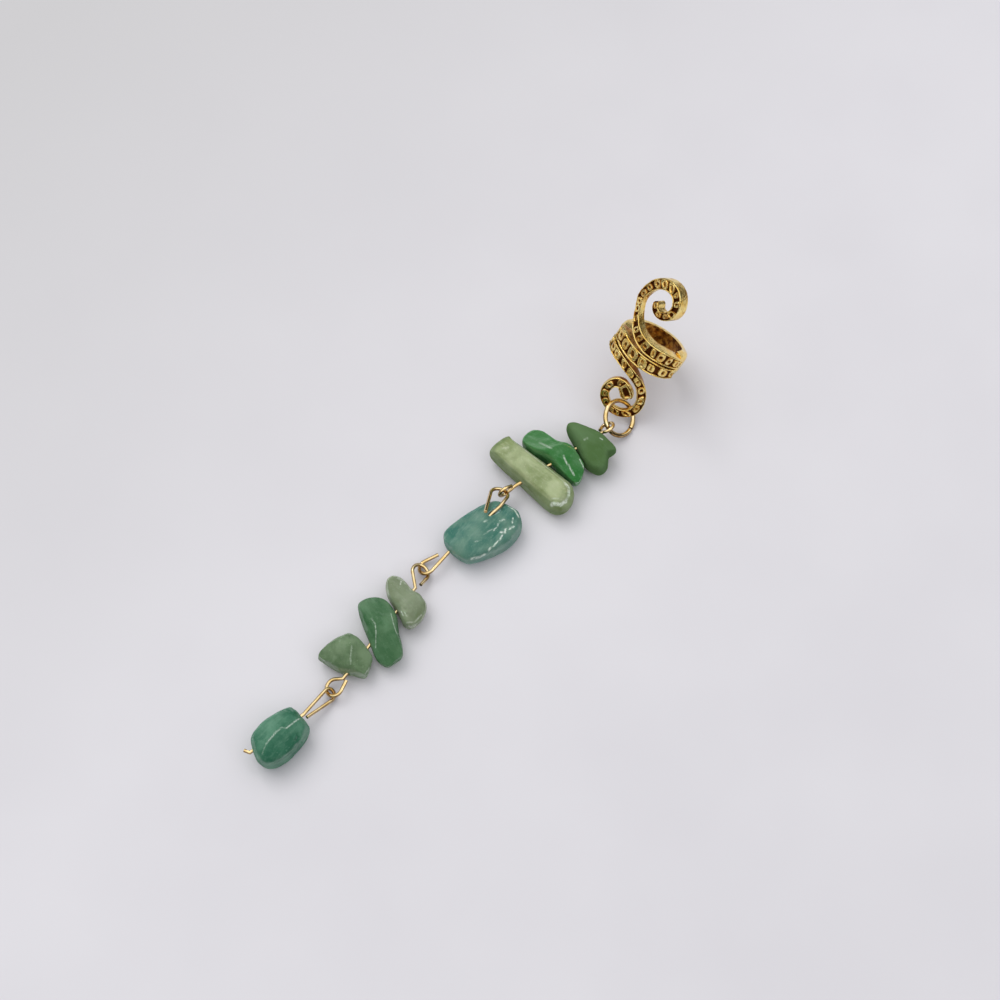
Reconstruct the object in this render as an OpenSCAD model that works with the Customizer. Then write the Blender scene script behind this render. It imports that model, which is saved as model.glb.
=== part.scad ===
// Hair-lock cuff with a dangling string of drilled gemstone chips, lying on a table.
// Millimetres. +X runs along the string towards the cuff, +Z is up, z = 0 is the table.

/* [Cuff] */
// Inner radius of the ring that a lock of hair passes through
bore_r = 4.1; // [3.8:0.1:4.6]
// Wall of the ring and thickness of the scroll strips
wall = 1.6; // [1.3:0.1:1.8]
// Length of one cell of the cast relief
cell_pitch = 1.36; // [1.2:0.02:1.6]
// Depth of the cast relief
relief_depth = 0.28; // [0.15:0.01:0.35]
// How far the ring's axis leans from upright
cuff_lean = 33.9; // [30:0.1:38]

/* [Wire] */
// Diameter of the eye-pin wire
pin_d = 0.55; // [0.4:0.05:0.6]
// Diameter of the jump ring's wire
ring_wire_d = 0.72; // [0.6:0.02:0.8]
// Radius of the jump ring to the middle of its wire
ring_r = 2.67; // [2.4:0.01:2.8]
// Width of the cut in the jump ring
ring_cut = 0.2; // [0.1:0.05:0.4]

/* [Stones] */
// Diameter of the hole drilled through each stone
hole_d = 0.9; // [0.8:0.05:1.1]

/* [Hidden] */

gold = "goldenrod";
outer_r = bore_r + wall;
bore_cut_h = 12;
// Rise of the strips' edges over the ring, and how far their ends sink into it
rim_rise = 0.12;
sink = 0.6;
sink_run = 0.6;
// Depth left between the strips' backs and the bore
back_gap = 0.02;
// Heights beyond the ring, for a strip that has no scroll head
no_head_h = [90, 91];

// Moves everything so that the middle of its box stands on the origin
home = [2.41, 0.26, 0];

// Place and heading of the cuff, and the turn of its front about its own axis
cuff_at = [37.9, -0.3, 7.0];
cuff_heading = 79.5;
cuff_turn = -156;

// Columns: s around the ring from its front, h along its axis, w width of the strip and its
// thickness as a share of the wall.
// Strip that crosses the front on top and rises into the upper scroll
UPPER_STRIP = [
    [7.4, 1.9, 1.6, 1], [5.2, 2.7, 1.9, 1], [2.6, 3.2, 2.1, 1], [-0.5, 3.5, 2.0, 1],
    [-3.0, 4.3, 1.7, 0.9], [-4.8, 5.7, 1.4, 0.7], [-5.8, 7.8, 1.3, 0.6], [-5.9, 10.0, 1.4, 0.6],
    [-5.0, 12.3, 1.6, 0.7], [-3.2, 13.8, 1.8, 0.9], [-1.2, 13.9, 1.7, 1], [0.1, 12.5, 1.5, 1],
    [0.0, 10.8, 1.4, 1], [-1.2, 9.5, 1.2, 1], [-2.6, 9.4, 1.1, 1], [-3.3, 10.5, 1.0, 1]];
// Strip across the middle of the front
MIDDLE_STRIP = [
    [-8.2, 0.9, 2.1, 1], [-5.5, 1.3, 2.3, 1], [-3.2, 1.2, 2.3, 1], [-0.8, 1.0, 2.3, 1],
    [2.2, 0.8, 2.2, 1], [5.0, 0.5, 1.9, 1], [7.5, 0.37, 1.75, 1]];
// Strip that crosses the front below and runs down into the thinner lower scroll
LOWER_STRIP = [
    [-8.2, -1.0, 1.6, 1], [-6.2, -1.1, 1.7, 1], [-3.2, -1.1, 1.6, 1], [-1.3, -1.4, 1.5, 1],
    [0.3, -1.9, 1.4, 0.9], [1.9, -2.8, 1.4, 0.7], [3.1, -4.2, 1.5, 0.55], [3.7, -6.0, 1.4, 0.5],
    [3.4, -7.8, 1.35, 0.42], [2.0, -8.9, 1.3, 0.42], [0.3, -8.9, 1.3, 0.42], [-1.2, -7.9, 1.35, 0.42],
    [-1.9, -6.4, 1.4, 0.45], [-1.6, -4.9, 1.45, 0.5], [-0.5, -4.2, 1.55, 0.5], [0.6, -4.6, 1.6, 0.5],
    [1.4, -5.3, 1.6, 0.5], [2.05, -6.0, 1.1, 0.5]];
// Plain shank round the back, from the right shoulder to the left one, with its wall
SHANK = [
    [6.2, 1.5, 4.4, 1.5], [8.5, 1.4, 4.0, 1.4], [12, 0.9, 3.1, 1.0], [17.9, 0.3, 2.8, 0.9],
    [23.8, 0.2, 3.2, 1.0], [27.3, 0.3, 4.0, 1.4], [29.6, 0.2, 4.2, 1.5]];

// The scroll heads lie flat in planes that touch the ring at these places, past these heights
upper_head_s = -3.2;
upper_head_h = [4.5, 9];
lower_head_s = 1.2;
lower_head_h = [-2.5, -6];

// Columns: q across the strip from -1 to 1, then the height there over a gap, a bar and a pit
RELIEF = [
    [-1.00, 1.0, 1.0, 1.0],
    [-0.74, 0.0, 0.0, 0.0],
    [-0.56, 0.0, 0.8, 0.8],
    [-0.28, 0.0, 0.8, 0.1],
    [0.28, 0.0, 0.8, 0.1],
    [0.56, 0.0, 0.8, 0.8],
    [0.74, 0.0, 0.0, 0.0],
    [1.00, 1.0, 1.0, 1.0]];
// Columns: column of RELIEF used at a station, share of the cell up to the next station
CELL = [[1, 0.16], [2, 0.20], [3, 0.28], [3, 0.20], [2, 0.16]];

// Stones. Columns of each outline: x, y from the stone's middle, rise of its edge over mid height
CHIP_1 = [
    [1.0, 4.3, 0.2], [-0.3, 4.2, 0.4], [-1.5, 1.4, 0.3], [-2.7, -1.7, -0.2],
    [-2.2, -4.1, -0.4], [-0.7, -4.4, -0.3], [0.7, -3.5, 0.1], [2.2, -3.6, 0.3],
    [2.6, -1.6, 0.1], [2.8, -0.2, -0.2], [2.2, 1.9, -0.2]];
CHIP_2 = [
    [0.3, 5.5, -0.2], [-1.9, 5.2, -0.1], [-2.4, 2.6, 0.2], [-1.8, 0.0, 0.3],
    [-1.8, -5.4, 0.4], [0.9, -4.8, 0.3], [1.8, -3.2, 0.0], [2.5, -0.9, -0.2],
    [1.5, 1.4, -0.3], [1.4, 4.2, -0.3]];
CHIP_3 = [
    [1.7, 7.0, 0.2], [-1.3, 7.4, 0.1], [-2.0, 6.1, 0.0], [-2.2, 0.2, -0.3],
    [-2.3, -1.4, -0.3], [-2.5, -5.8, -0.2], [-1.3, -7.4, 0.0], [0.8, -7.3, 0.2],
    [2.3, -5.7, 0.3], [2.4, -3.5, 0.3], [1.9, 5.4, 0.2]];
CHIP_4 = [
    [-4.3, 4.1, -0.2], [-5.6, 2.1, 0.0], [-5.5, -1.2, 0.2], [-4.0, -2.6, 0.1],
    [-1.0, -3.8, -0.2], [1.7, -4.3, -0.4], [4.1, -3.8, -0.3], [5.4, -2.4, 0.1],
    [5.6, -1.1, 0.3], [4.9, 1.5, 0.2], [3.3, 2.8, -0.1], [0.1, 3.8, -0.3], [-2.6, 4.3, -0.3]];
CHIP_5 = [
    [0.6, 3.9, 0.1], [1.7, 4.0, 0.0], [2.4, 3.4, -0.2], [2.6, 2.2, -0.2], [2.3, 0.1, -0.1],
    [2.5, -1.3, 0.0], [1.8, -3.1, 0.2], [-0.1, -4.0, 0.3], [-1.9, -3.9, 0.2],
    [-2.5, -2.7, 0.0], [-1.8, -0.9, -0.2], [-0.8, 2.3, 0.0]];
CHIP_6 = [
    [0.1, 4.8, 0.2], [1.5, 4.9, 0.1], [3.0, 3.9, -0.1], [3.7, 2.4, -0.3], [3.0, -0.2, -0.2],
    [1.3, -2.3, 0.1], [-0.7, -5.0, 0.3], [-2.4, -5.0, 0.2], [-3.6, -4.5, 0.0],
    [-3.8, -2.8, -0.2], [-3.1, -1.1, -0.1], [-2.3, 0.5, 0.1], [-1.3, 2.6, 0.2]];
CHIP_7 = [
    [-3.0, 3.4, 0.0], [-3.1, 2.7, -0.1], [-2.5, -0.5, -0.2], [-1.6, -2.1, 0.0],
    [-1.0, -3.5, 0.2], [-0.3, -3.8, 0.3], [1.5, -3.0, 0.2], [2.4, -2.1, 0.0],
    [3.0, 0.6, -0.2], [2.9, 1.8, -0.2], [2.4, 2.7, 0.0], [0.5, 3.4, 0.2], [-1.8, 3.7, 0.1]];
CHIP_8 = [
    [4.0, 1.9, 0.0], [4.4, 1.0, 0.1], [4.4, -0.1, 0.0], [4.2, -1.6, -0.2], [3.7, -2.5, -0.3],
    [1.6, -3.1, -0.4], [-1.4, -3.2, -0.3], [-3.1, -2.8, -0.1], [-4.1, -2.1, 0.1],
    [-4.5, -1.1, 0.2], [-4.3, 0.3, 0.2], [-2.9, 2.5, 0.0], [-0.9, 3.1, -0.2], [1.2, 2.9, -0.2]];

// Columns: middle x, middle y, thickness, boxiness (2 is an ellipsoid), outline
STONES = [
    [21.2, -3.1, 5.0, 2.5, CHIP_1],
    [16.8, -0.5, 5.2, 2.9, CHIP_2],
    [12.0, -0.2, 5.0, 3.2, CHIP_3],
    [0.2, -1.0, 4.8, 2.7, CHIP_4],
    [-15.9, 0.2, 4.0, 2.6, CHIP_5],
    [-21.1, -0.5, 4.4, 2.8, CHIP_6],
    [-27.3, -0.1, 4.0, 2.6, CHIP_7],
    [-42.9, -1.3, 5.6, 2.7, CHIP_8]];

// Straight run of each pin's wire, through its stones, from the cuff's side to the far side
PIN_RUN = [
    [[24.3, -3.2, 2.9], [8.9, 0.6, 2.5]],
    [[4.0, -0.77, 4.94], [-5.2, 0.8, 1.8]],
    [[-13.0, 0.4, 2.0], [-30.2, -1.6, 1.9]],
    [[-38.1, -1.5, 2.8], [-47.2, 0.05, 2.8]]];
// Columns of an eye: tip of the bend, width, roll of its plane, then its cut end's place from
// the foot of the eye: how far out along it and how far to its side
PIN_EYE = [
    [[[26.4, -3.0, 2.6], 2.1, 320, 0.3, 0.85], [[6.15, 1.25, 3.0], 1.9, 90, 0.8, 0.62]],
    [[[6.71, 1.89, 3.02], 2.56, 12, -1.63, 2.2], [[-10.34, 2.02, 0.9], 2.48, 25, 1.69, -0.72]],
    [[[-9.47, 2.37, 1.11], 2.55, 26, 0.94, -0.63], [[-33.11, -1.37, 1.0], 2.54, 15, -0.22, 0.6]],
    [[[-32.33, -1.65, 0.91], 1.79, 35, 0.29, -0.62]]];
tail_tip = [-47.5, 0.9, 2.8];

// Jump ring: middle, then the tilt and heading of its axis
ring_at = [28.08, -3.25, 2.19];
ring_tilt = 41.9;
ring_heading = 283.7;

pin_sides = 6;
bend_step = 26;
smooth_steps = 3;
dome_step = 22.5;

// Vector helpers
function unit(v) = v / norm(v);
function mix(a, b, k) = a + (b - a) * k;
function ease(k) = let (c = min(1, max(0, k))) c * c * (3 - 2 * c);

// Catmull-Rom curve through rows of numbers
function curve(a, b, c, d, k) =
    0.5 * ((2 * b) + (c - a) * k + (2 * a - 5 * b + 4 * c - d) * k * k
           + (3 * b - a - 3 * c + d) * k * k * k);
function ring_curve(rows, steps) =
    let (n = len(rows))
    [for (i = [0:n - 1], k = [0:steps - 1])
        curve(rows[(i + n - 1) % n], rows[i], rows[(i + 1) % n], rows[(i + 2) % n], k / steps)];
function route_at(rows, t) =
    let (n = len(rows), i = min(n - 2, floor(t)))
    curve(rows[max(0, i - 1)], rows[i], rows[i + 1], rows[min(n - 1, i + 2)], t - i);

// Triangles between n rings of m points each, and fans to one tip at each end
function skin(n, m) =
    [for (i = [0:n - 2], j = [0:m - 1], half = [0, 1])
        let (a = i * m + j, b = i * m + (j + 1) % m)
        half == 0 ? [a, b, b + m] : [a, b + m, a + m]];
function tips(n, m) =
    concat([for (j = [0:m - 1]) [n * m, (j + 1) % m, j]],
           [for (j = [0:m - 1]) [n * m + 1, (n - 1) * m + j, (n - 1) * m + (j + 1) % m]]);

// Round wire along a path, with its frame carried from point to point
function heading(path, i) =
    unit(path[min(len(path) - 1, i + 1)] - path[max(0, i - 1)]);
function carry(path, i, side) =
    i >= len(path) ? [] :
    let (t = heading(path, i), s = unit(side - (side * t) * t))
    concat([s], carry(path, i + 1, s));
module wire(path, d) {
    n = len(path);
    first = heading(path, 0);
    sides = carry(path, 0, cross(first, abs(first.z) > 0.9 ? [1, 0, 0] : [0, 0, 1]));
    rings = [for (i = [0:n - 1], j = [0:pin_sides - 1])
        let (t = heading(path, i), a = 360 * j / pin_sides)
        path[i] + d / 2 * (cos(a) * sides[i] + sin(a) * cross(t, sides[i]))];
    polyhedron(concat(rings, [path[0], path[n - 1]]),
               concat(skin(n, pin_sides), tips(n, pin_sides)));
}

// One bent eye: out along one leg, round the bend and back to its cut end
function eye(foot, e) =
    let (out = unit(e[0] - foot), r = e[1] / 2, mid = norm(e[0] - foot) - r,
         level = unit(cross([0, 0, 1], out)),
         side = (level * cos(e[2]) + cross(out, level) * sin(e[2])) * sign(e[4]),
         first = -90 - asin(r / mid),
         last = atan2(abs(e[4]), e[3] - mid) - acos(r / norm([e[3] - mid, e[4]])),
         bends = ceil((last - first) / bend_step))
    concat([foot],
           [for (i = [0:bends]) let (a = mix(first, last, i / bends))
               foot + out * (mid + r * cos(a)) + side * r * sin(a)],
           [foot + out * e[3] + side * abs(e[4])]);
function reversed(v) = [for (i = [len(v) - 1:-1:0]) v[i]];
function pin_path(k) =
    concat(reversed(eye(PIN_RUN[k][0], PIN_EYE[k][0])),
           len(PIN_EYE[k]) > 1 ? eye(PIN_RUN[k][1], PIN_EYE[k][1]) : [PIN_RUN[k][1], tail_tip]);
module pin(k) {
    color(gold) translate(home) wire(pin_path(k), pin_d);
}

// Tumbled stone: its outline domed above and below, drilled for the pin that carries it
module stone(k, pin, tint) {
    at = STONES[k];
    t = at[2];
    boxy = 2 / at[3];
    rim = ring_curve(at[4], smooth_steps);
    m = len(rim);
    levels = [for (a = [-90 + dome_step:dome_step:90 - dome_step]) a];
    rings = [for (a = levels, p = rim)
        let (wide = pow(cos(a), boxy), v = sign(a) * pow(abs(sin(a)), boxy))
        [at.x + p.x * wide, at.y + p.y * wide, t / 2 * (1 + v) + p.z * wide * wide]];
    n = len(levels);
    run = PIN_RUN[pin];
    along = run[1] - run[0];
    color(tint) translate(home) difference() {
        polyhedron(concat(rings, [[at.x, at.y, 0], [at.x, at.y, t]]),
                   concat(skin(n, m), tips(n, m)));
        translate(run[0] - unit(along) * 2)
            rotate([0, acos(along.z / norm(along)), atan2(along.y, along.x)])
                cylinder(h = norm(along) + 4, d = hole_d, $fn = 24);
    }
}

// A place on the cuff's front: s round the ring, h along its axis, rho from its axis.
// k turns the round surface into the flat plane of a scroll head.
function on_cuff(s, h, rho, head_s, k) =
    let (az = s / outer_r * 180 / PI, flat = head_s / outer_r * 180 / PI, off = s - head_s)
    mix([rho * sin(az), -rho * cos(az), h],
        [rho * sin(flat) + off * cos(flat), -rho * cos(flat) + off * sin(flat), h], k);

// Stations of a strip, a few to each cell: place on the route and kind of relief
function pace(rows, t) = let (d = 0.01, a = route_at(rows, t), b = route_at(rows, t + d))
    norm([b[0] - a[0], b[1] - a[1]]) / d;
function stations(rows) =
    [for (i = 0, t = 0; t < len(rows) - 1;
          t = t + cell_pitch * CELL[i % len(CELL)][1] / pace(rows, t), i = i + 1)
        [t, CELL[i % len(CELL)][0]]];

// Cast strip: plain sides and back, and a face of raised frames between two raised edges.
// Its ends on the ring sink into the wall of the shank.
module strip(rows, head_s, head_h, sunk_ends) {
    list = stations(rows);
    n = len(list);
    m = len(RELIEF) + 2;
    full = wall + rim_rise - back_gap;
    function sunk(t) =
        let (a = 1 - ease(t / sink_run), b = 1 - ease((len(rows) - 1 - t) / sink_run))
        max(a, sunk_ends == 2 ? b : 0);
    function place(st, q, depth) =
        let (c = route_at(rows, st[0]), d = route_at(rows, st[0] + 0.02) - c, run = unit([d[0], d[1]]),
             half = c[2] / 2 * (1 - 0.3 * sunk(st[0])),
             s = c[0] - run.y * q * half, h = c[1] + run.x * q * half,
             k = ease((h - head_h[0]) / (head_h[1] - head_h[0])),
             back = outer_r + rim_rise - c[3] * full + 0.5 * sunk(st[0]),
             face = outer_r + rim_rise - sink * sunk(st[0]))
        on_cuff(s, h, depth < 0 ? back : face - depth, head_s, k);
    rings = [for (st = list) each concat(
        [place(st, -1, -1)],
        [for (r = RELIEF) place(st, r[0], (1 - r[st[1]]) * relief_depth)],
        [place(st, 1, -1)])];
    ends = [for (st = [list[0], list[n - 1]]) place(st, 0, wall / 4)];
    polyhedron(concat(rings, ends), concat(skin(n, m), tips(n, m)));
}

// Plain shank with a softly rounded outside, bored true
module shank() {
    steps = 4;
    n = (len(SHANK) - 1) * steps + 1;
    function place(t, q, share) =
        let (c = route_at(SHANK, t), rho = bore_r + share * c[3])
        on_cuff(c[0], c[1] + q * c[2] / 2, rho, 0, 0);
    section = [[-1, -0.2], [-1, 0.7], [-0.75, 1], [0.75, 1], [1, 0.7], [1, -0.2]];
    m = len(section);
    rings = [for (i = [0:n - 1], p = section) place(i / steps, p[0], p[1])];
    ends = [place(0, 0, 0.5), place((n - 1) / steps, 0, 0.5)];
    difference() {
        polyhedron(concat(rings, ends), concat(skin(n, m), tips(n, m)));
        translate([0, 0, -bore_cut_h / 2]) cylinder(h = bore_cut_h, r = bore_r, $fn = 64);
    }
}

module cuff_place() {
    translate(home + cuff_at) rotate([cuff_lean, 0, cuff_heading]) rotate([0, 0, cuff_turn]) children();
}

module cuff() {
    color(gold) cuff_place() union() {
        shank();
        strip(UPPER_STRIP, upper_head_s, upper_head_h, 1);
        strip(MIDDLE_STRIP, 0, no_head_h, 2);
        strip(LOWER_STRIP, lower_head_s, lower_head_h, 1);
    }
}

module jump_ring() {
    cut = ring_cut / ring_r * 180 / PI;
    color(gold) translate(home + ring_at) rotate([0, ring_tilt, ring_heading])
        rotate([0, 0, cut / 2])
            rotate_extrude(angle = 360 - cut, $fn = 48)
                translate([ring_r, 0]) circle(d = ring_wire_d, $fn = 16);
}

module pin_1() pin(0);
module pin_2() pin(1);
module pin_3() pin(2);
module pin_4() pin(3);
module chip_1() stone(0, 0, "seagreen");
module chip_2() stone(1, 0, "mediumseagreen");
module chip_3() stone(2, 0, "darkseagreen");
module chip_4() stone(3, 1, "cadetblue");
module chip_5() stone(4, 2, "darkseagreen");
module chip_6() stone(5, 2, "seagreen");
module chip_7() stone(6, 2, "mediumseagreen");
module chip_8() stone(7, 3, "seagreen");

cuff();
jump_ring();
pin_1();
chip_1();
chip_2();
chip_3();
pin_2();
chip_4();
pin_3();
chip_5();
chip_6();
chip_7();
pin_4();
chip_8();
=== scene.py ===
import math

import bmesh
import bpy
from mathutils import Matrix, Vector, noise


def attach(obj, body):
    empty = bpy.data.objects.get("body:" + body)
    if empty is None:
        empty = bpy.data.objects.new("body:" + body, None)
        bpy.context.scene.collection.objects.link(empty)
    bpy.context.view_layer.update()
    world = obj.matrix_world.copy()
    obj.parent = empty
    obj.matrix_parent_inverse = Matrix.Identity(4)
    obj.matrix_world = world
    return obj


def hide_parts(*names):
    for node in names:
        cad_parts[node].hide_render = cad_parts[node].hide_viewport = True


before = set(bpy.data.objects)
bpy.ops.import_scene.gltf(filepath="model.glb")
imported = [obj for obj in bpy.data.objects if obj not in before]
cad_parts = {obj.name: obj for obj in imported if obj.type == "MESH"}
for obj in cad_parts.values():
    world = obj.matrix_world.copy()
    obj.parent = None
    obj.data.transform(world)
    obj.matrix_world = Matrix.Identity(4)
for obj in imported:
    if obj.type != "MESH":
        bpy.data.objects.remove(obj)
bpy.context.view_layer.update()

# The camera looks down on the clip from the near left of its string, 65 degrees above the
# table and 320 mm away, through a lens that shows 0.15 mm of the table in each of the
# picture's 1000 pixels.
MM = 0.001
scene = bpy.context.scene
aim = Vector((8.91, 1.76, 0.0)) * MM
heading = math.radians(47.5)
elevation = math.radians(65.0)
camera_far = 320
right = Vector((math.cos(heading), -math.sin(heading), 0.0))
away = Vector((math.sin(heading), math.cos(heading), 0.0))
up = Vector((0.0, 0.0, 1.0))
look = away * math.cos(elevation) - up * math.sin(elevation)
camera = bpy.data.objects.new("camera", bpy.data.cameras.new("camera"))
camera.data.lens = 76.8
camera.data.clip_start = 0.02
camera.location = aim - look * camera_far * MM
camera.rotation_euler = look.to_track_quat("-Z", "Y").to_euler()
scene.collection.objects.link(camera)
scene.camera = camera
scene.view_settings.view_transform = "Standard"

# The light is a very large soft window on the upper left, which glossy faces don't mirror, a
# small bright one that gives their glints, a faint fill from the right, and a pale room that
# is dim towards its foot.
lamp_far = 0.9


def soft_box(name, toward, side, watts, tint):
    """A square area light that shines on the clip from one direction."""
    lamp = bpy.data.lights.new(name, "AREA")
    lamp.size = side
    lamp.energy = watts
    lamp.color = tint
    box = bpy.data.objects.new(name, lamp)
    box.location = aim + toward.normalized() * lamp_far
    box.rotation_euler = (-toward).to_track_quat("-Z", "Y").to_euler()
    scene.collection.objects.link(box)
    return box


window = soft_box("window", away * 0.42 - right * 0.50 + up * 1.0, 0.7, 3.0, (1.0, 0.99, 0.965))
window.visible_glossy = False
soft_box("glint", away * 0.75 - right * 0.35 + up * 1.1, 0.14, 0.35, (1.0, 0.99, 0.97))
soft_box("fill", right * 0.8 - away * 0.5 + up * 0.7, 0.25, 0.35, (0.97, 0.97, 1.0))

room = bpy.data.worlds.new("room")
scene.world = room
room.use_nodes = True
tree = room.node_tree
tree.nodes.clear()
where = tree.nodes.new("ShaderNodeTexCoord")
split = tree.nodes.new("ShaderNodeSeparateXYZ")
ramp = tree.nodes.new("ShaderNodeValToRGB")
glow = tree.nodes.new("ShaderNodeBackground")
out = tree.nodes.new("ShaderNodeOutputWorld")
ramp.color_ramp.elements[0].position = 0.26
ramp.color_ramp.elements[0].color = (0.03, 0.028, 0.03, 1.0)
ramp.color_ramp.elements[1].position = 0.74
ramp.color_ramp.elements[1].color = (1.12, 1.12, 1.14, 1.0)
tree.links.new(where.outputs["Generated"], split.inputs[0])
tree.links.new(split.outputs["Z"], ramp.inputs["Fac"])
tree.links.new(ramp.outputs["Color"], glow.inputs["Color"])
tree.links.new(glow.outputs["Background"], out.inputs["Surface"])

# The table is a pale matte board with a very faint mottle, and painted shade that makes it a
# little darker towards its far left. It is the stage that the clip lies on.


def feed(links, socket, value):
    """Puts a number or a colour on a socket, or links another node's output to it."""
    if isinstance(value, bpy.types.NodeSocket):
        links.new(value, socket)
    elif socket.type == "RGBA" and len(value) == 3:
        socket.default_value = (*value, 1.0)
    else:
        socket.default_value = value


def cloud(nodes, links, vector, scale, detail=3.0, roughness=0.5, distortion=0.0):
    """A noise texture that reads a vector in mm."""
    grain = nodes.new("ShaderNodeTexNoise")
    for socket, value in zip(("Vector", "Scale", "Detail", "Roughness", "Distortion"),
                             (vector, scale, detail, roughness, distortion)):
        feed(links, grain.inputs[socket], value)
    return grain.outputs["Fac"]


def blend(nodes, links, factor, a, b):
    """Colour a turning to colour b by a factor."""
    mix = nodes.new("ShaderNodeMix")
    mix.data_type = "RGBA"
    for socket, value in zip((0, 6, 7), (factor, a, b)):
        feed(links, mix.inputs[socket], value)
    return mix.outputs[2]


def remap(nodes, links, value, low, high, to_low=0.0, to_high=1.0):
    """A value from low to high, spread over to_low to to_high and clamped there."""
    spread = nodes.new("ShaderNodeMapRange")
    for socket, number in zip(("Value", "From Min", "From Max", "To Min", "To Max"),
                              (value, low, high, to_low, to_high)):
        feed(links, spread.inputs[socket], number)
    return spread.outputs["Result"]


def sums(nodes, links, how, a, b):
    """Two values added, multiplied or otherwise put together."""
    node = nodes.new("ShaderNodeMath")
    node.operation = how
    feed(links, node.inputs[0], a)
    feed(links, node.inputs[1], b)
    return node.outputs[0]


def shader_group(name, inputs, outputs):
    """An empty node group with named sockets. Each input's kind follows from its value."""
    group = bpy.data.node_groups.new(name, "ShaderNodeTree")
    for label, value in inputs.items():
        kind = "Float" if isinstance(value, float) else "Color" if value else "Vector"
        socket = group.interface.new_socket(label, in_out="INPUT", socket_type="NodeSocket" + kind)
        if value:
            socket.default_value = value if kind == "Float" else (*value, 1.0)
    for label, kind in outputs.items():
        group.interface.new_socket(label, in_out="OUTPUT", socket_type="NodeSocket" + kind)
    nodes = group.nodes
    given, result = nodes.new("NodeGroupInput").outputs, nodes.new("NodeGroupOutput").inputs
    return group, nodes, group.links, given, result


def placed(nodes, links, group, **values):
    """A group's outputs in a material, with the material's own values on its inputs."""
    node = nodes.new("ShaderNodeGroup")
    node.node_tree = group
    for label, value in values.items():
        feed(links, node.inputs[label], value)
    return node.outputs


def carried(nodes, name):
    """A value that the piece's own mesh carries under a name."""
    reader = nodes.new("ShaderNodeAttribute")
    reader.attribute_name = name
    return reader.outputs["Fac"]


def node_material(name):
    """A material with an empty tree, its Principled shader and its own coordinates in mm."""
    material = bpy.data.materials.new(name)
    material.use_nodes = True
    nodes, links = material.node_tree.nodes, material.node_tree.links
    nodes.clear()
    shader = nodes.new("ShaderNodeBsdfPrincipled")
    out = nodes.new("ShaderNodeOutputMaterial")
    links.new(shader.outputs["BSDF"], out.inputs["Surface"])
    place = nodes.new("ShaderNodeTexCoord")
    scale = nodes.new("ShaderNodeMapping")
    scale.inputs["Scale"].default_value = (1 / MM, 1 / MM, 1 / MM)
    links.new(place.outputs["Object"], scale.inputs["Vector"])
    return material, nodes, links, shader, scale.outputs["Vector"]


def object_from(mesh, name):
    """A new object in the scene from a finished bmesh, which is freed."""
    data = bpy.data.meshes.new(name)
    mesh.to_mesh(data)
    mesh.free()
    thing = bpy.data.objects.new(name, data)
    scene.collection.objects.link(thing)
    return thing


# Two colours that drift into each other, used by the board and by both gold finishes
drift, nodes, links, given, result = shader_group(
    "colour_drift", {"Vector": None, "Size": 1.0, "First": (0.5, 0.5, 0.5),
                     "Second": (0.6, 0.6, 0.6)}, {"Color": "Color"})
drifting = remap(nodes, links, cloud(nodes, links, given["Vector"], given["Size"]), 0.32, 0.68)
links.new(blend(nodes, links, drifting, given["First"], given["Second"]), result["Color"])

board = bmesh.new()
bmesh.ops.create_grid(board, x_segments=2, y_segments=2, size=3.0)
table = object_from(board, "table")
pale, nodes, links, shader, mm = node_material("pale_board")
mottled = placed(nodes, links, drift, Vector=mm, Size=0.03,
                 First=(0.630, 0.620, 0.650), Second=(0.657, 0.648, 0.677))
# Painted shade: the board darkens towards its far left
across_left = nodes.new("ShaderNodeVectorMath")
across_left.operation = "DOT_PRODUCT"
across_left.inputs[1].default_value = (away - right) / math.sqrt(2)
links.new(mm, across_left.inputs[0])
far_left = remap(nodes, links, across_left.outputs["Value"], 10.0, 120.0)
links.new(blend(nodes, links, far_left, mottled["Color"], (0.53, 0.525, 0.535)),
          shader.inputs["Base Color"])
shader.inputs["Roughness"].default_value = 0.8
shader.inputs["Specular IOR Level"].default_value = 0.2
table.data.materials.append(pale)

# The cuff is one brass casting, gold-coloured: a plain shank round the back of the lock and
# three strips across its front, whose top and bottom ones run out into scrolls. Its face
# carries raised frames with sunk middles, dark brown in every hollow, partly antique patina and
# partly painted shade. Painted shade also turns the slits between strips amber, darkens the
# side walls with depth and turns the inside of the bore brown.
bore_r = 4.1
wall = 1.6
relief_depth = 0.32
outer_r = bore_r + wall
rim_rise = 0.12
back_gap = 0.02
sink = 0.6
sink_run = 0.6
edge_round = 0.10
across = 34
step_along = 0.085
fine_steps = 900
look_along = 0.02
pace_drift = 0.30
pace_pitch = 0.55
wave = 0.06
wave_pitch = 1.7
shank_corner = 0.45
weld_gap = 1e-5
home = Vector((2.41, 0.26, 0.0))
cuff_place = (Matrix.Translation((home + Vector((37.9, -0.3, 7.0))))
              @ Matrix.Rotation(math.radians(79.5), 4, "Z")
              @ Matrix.Rotation(math.radians(33.9), 4, "X")
              @ Matrix.Rotation(math.radians(-156), 4, "Z"))

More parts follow.
